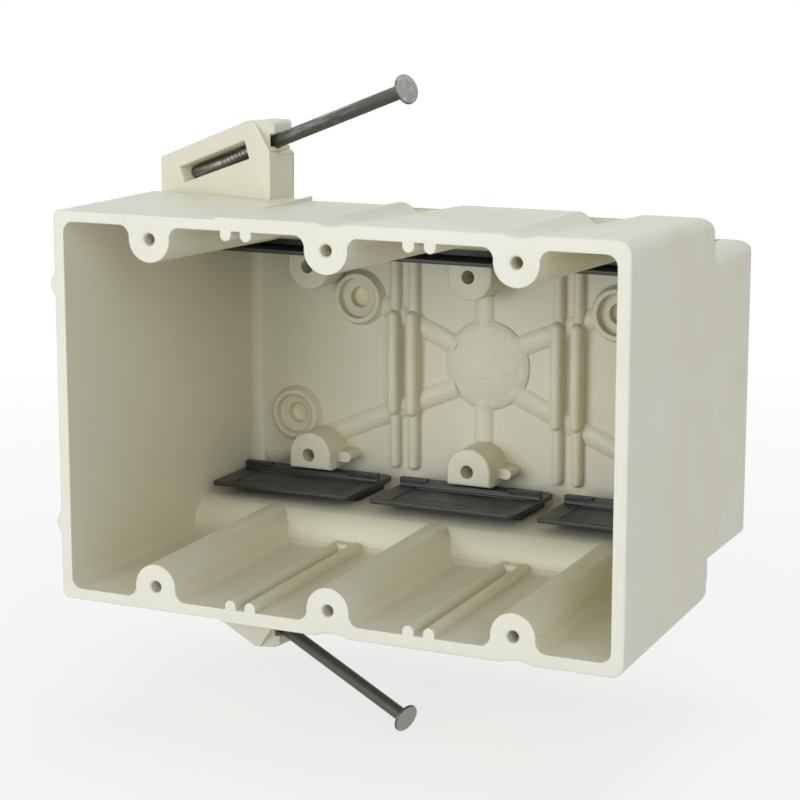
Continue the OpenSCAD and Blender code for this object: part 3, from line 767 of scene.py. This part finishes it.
def build_camera(settings):
    """Camera at the photograph's place and angle."""
    data = bpy.data.cameras.new("Camera")
    data.sensor_width = 36.0
    data.lens = settings.lens
    data.shift_x, data.shift_y = settings.shift
    data.clip_start = 0.01
    data.clip_end = 20.0
    camera = bpy.data.objects.new("Camera", data)
    bpy.context.scene.collection.objects.link(camera)
    a, e, r = settings.azimuth, settings.elevation, settings.roll
    back = Vector((math.sin(a) * math.cos(e), -math.cos(a) * math.cos(e), math.sin(e)))
    right = Vector((math.cos(a), math.sin(a), 0))
    up = back.cross(right)
    right, up = math.cos(r) * right + math.sin(r) * up, math.cos(r) * up - math.sin(r) * right
    turn = Matrix((right, up, back)).transposed().to_4x4()
    camera.matrix_world = Matrix.Translation(settings.place) @ turn
    bpy.context.scene.camera = camera


def floor_material(settings, middle):
    """Pale floor that keeps a soft shadow near the box and fades to white for the camera further out."""
    material, nodes, shader = new_material("Pale floor")
    shader.inputs["Base Color"].default_value = rgba(settings.floor_color)
    shader.inputs["Roughness"].default_value = 0.9
    shader.inputs["Specular IOR Level"].default_value = 0.1
    place = nodes.add("ShaderNodeTexCoord").outputs["Object"]
    centred = nodes.add("ShaderNodeMapping", {"Vector": place, "Location": (-middle.x, -middle.y, 0)})
    flat = nodes.add(
        "ShaderNodeVectorMath", {0: centred.outputs["Vector"], 1: (1, 1, 0)}, operation="MULTIPLY")
    reach = nodes.add("ShaderNodeVectorMath", {0: flat.outputs["Vector"]}, operation="LENGTH")
    away = nodes.spread(reach.outputs["Value"], WHITE_START, WHITE_FULL)
    whiteness = nodes.math("ADD", NEAR_WHITE, nodes.scaled(away, 1 - NEAR_WHITE))
    share = nodes.scaled(seen_directly(nodes), whiteness)
    white = nodes.add("ShaderNodeEmission", {"Color": (1, 1, 1, 1), "Strength": 1.0})
    mixed = nodes.add(
        "ShaderNodeMixShader", {0: share, 1: shader.outputs["BSDF"], 2: white.outputs["Emission"]})
    output = next(n for n in nodes.tree.nodes if n.type == "OUTPUT_MATERIAL")
    nodes.tree.links.new(mixed.outputs["Shader"], output.inputs["Surface"])
    return material


class OUTLETBOX_OT_stage(bpy.types.Operator):
    """Builds the floor, the lamps, the white surroundings and the camera"""

    bl_idname = "outletbox.stage"
    bl_label = "Stage"

    def execute(self, context):
        settings = context.scene.outletbox_stage
        low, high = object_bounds()
        middle = (low + high) / 2
        object_mode()
        bpy.ops.mesh.primitive_plane_add(size=6, location=(middle.x, middle.y, low.z - settings.floor_gap))
        floor = name_piece("floor")
        bpy.ops.object.mode_set(mode="EDIT")
        bpy.ops.mesh.subdivide(number_cuts=3)
        object_mode()
        place_piece(floor, floor.matrix_world.copy())
        floor.data.materials.append(floor_material(settings, middle))
        floor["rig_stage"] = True

        scene = context.scene
        scene.view_settings.view_transform = "Standard"
        world = bpy.data.worlds.new("Studio")
        scene.world = world
        world.use_nodes = True
        nodes = Nodes(world.node_tree)
        soft = nodes.add("ShaderNodeBackground", {"Color": WORLD_COLOR, "Strength": WORLD_STRENGTH})
        out = nodes.add("ShaderNodeOutputWorld")
        world.node_tree.links.new(white_to_camera(nodes, soft.outputs[0]), out.inputs["Surface"])

        for lamp in LAMPS:
            add_lamp(middle, *lamp)
        build_camera(settings)
        return {"FINISHED"}


# The panel in the sidebar, and registering

class OUTLETBOX_PT_dressing(bpy.types.Panel):
    """Lists the settings and the steps"""

    bl_idname = "OUTLETBOX_PT_dressing"
    bl_label = "Outlet Box"
    bl_space_type = "VIEW_3D"
    bl_region_type = "UI"
    bl_category = "Outlet Box"

    def draw(self, context):
        for title, group, operator in STEPS:
            box = self.layout.box()
            box.label(text=title)
            settings = getattr(context.scene, group)
            for key in settings.__annotations__:
                box.prop(settings, key)
            box.operator(operator)


STEPS = [
    ("Moulded box", "outletbox_moulding", "outletbox.moulding"),
    ("Nails", "outletbox_nails", "outletbox.nails"),
    ("Cable clamps", "outletbox_clamps", "outletbox.cable_clamps"),
    ("Stage", "outletbox_stage", "outletbox.stage"),
]
GROUPS = {
    "outletbox_moulding": MouldingSettings,
    "outletbox_nails": NailSettings,
    "outletbox_clamps": ClampSettings,
    "outletbox_stage": StageSettings,
}
CLASSES = list(GROUPS.values()) + [
    OUTLETBOX_OT_moulding,
    OUTLETBOX_OT_nails,
    OUTLETBOX_OT_cable_clamps,
    OUTLETBOX_OT_stage,
    OUTLETBOX_PT_dressing,
]


def register():
    for item in CLASSES:
        bpy.utils.register_class(item)
    for name, group in GROUPS.items():
        setattr(bpy.types.Scene, name, PointerProperty(type=group))


def unregister():
    for name in GROUPS:
        delattr(bpy.types.Scene, name)
    for item in reversed(CLASSES):
        bpy.utils.unregister_class(item)


def main():
    register()
    bpy.ops.outletbox.moulding()
    bpy.ops.outletbox.nails()
    bpy.ops.outletbox.cable_clamps()
    bpy.ops.outletbox.stage()


if __name__ == "__main__":
    main()
